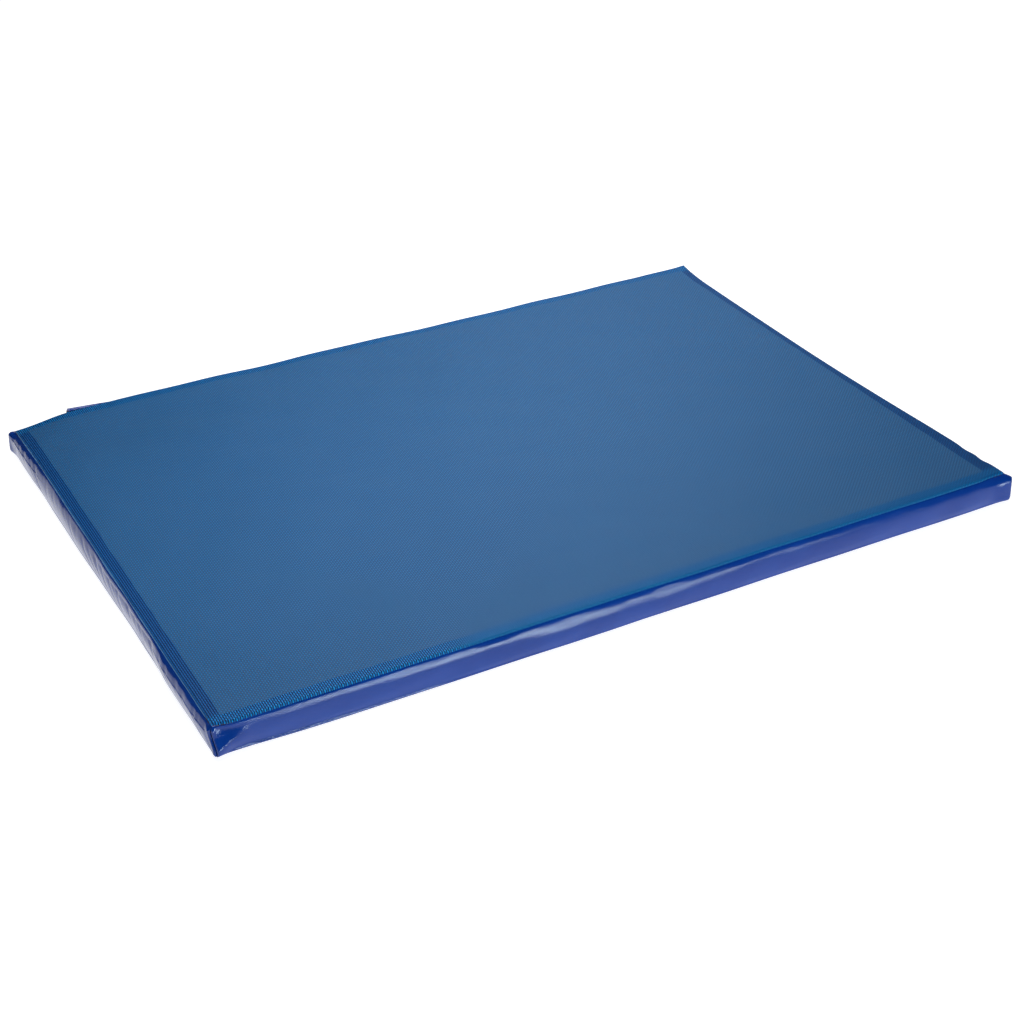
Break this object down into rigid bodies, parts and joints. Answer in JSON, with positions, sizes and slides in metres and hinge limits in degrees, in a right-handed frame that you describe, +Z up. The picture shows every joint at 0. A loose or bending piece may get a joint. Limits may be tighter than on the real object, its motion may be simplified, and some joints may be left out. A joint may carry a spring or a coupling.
{
  "type": "flat foam floor mat",
  "caption": "Flat rectangular foam floor mat with an open mesh top, glossy vinyl walls and floor, pinched corners and a rear zip under a hinged flap.",
  "frame": {"origin": "on the floor, under the middle of the mat's plan", "axes": "+X along the mat's length, +Y towards the wall with the zip, +Z up out of the mesh top"},
  "size_m": [0.8768, 0.6098, 0.035],
  "materials": {
    "vinyl": "gloss",
    "mesh": "satin",
    "foam": "matte",
    "zip_tape": "matte",
    "zip_coil": "satin",
    "zip_metal": "satin",
    "thread": "matte"
  },
  "bodies": {
    "cover": {"base_tray": "vinyl", "rear_upper_strip": "vinyl", "mesh_top": "mesh", "foam_core": "foam", "zip_tape_upper": "zip_tape", "zip_tape_lower": "zip_tape", "zip_coil_upper": "zip_coil", "zip_coil_lower": "zip_coil", "zip_top_stops": "zip_metal", "zip_bottom_stop": "zip_metal", "top_seam_thread": "thread", "front_left_seam_thread": "thread", "front_right_seam_thread": "thread", "rear_left_seam_thread": "thread", "rear_right_seam_thread": "thread", "zip_seam_thread_upper": "thread", "zip_seam_thread_lower": "thread"},
    "flap": {"storm_flap": "vinyl"},
    "slider": {"zip_slider": "zip_metal"},
    "pull_tab": {"zip_pull_tab": "zip_metal"}
  },
  "joints": [
    {"name": "flap_lift", "type": "hinge", "parent": "cover", "child": "flap", "pos_m": [0, 0.294, 0.0346], "axis": [1, 0, 0], "range_deg": [0, 150]},
    {"name": "slider_travel", "type": "slide", "parent": "cover", "child": "slider", "axis": [1, 0, 0], "range_m": [0, 0.744]},
    {"name": "pull_tab_swing", "type": "hinge", "parent": "slider", "child": "pull_tab", "pos_m": [-0.392, 0.3034, 0.017], "axis": [0, 0, 1], "range_deg": [0, 180]}
  ]
}
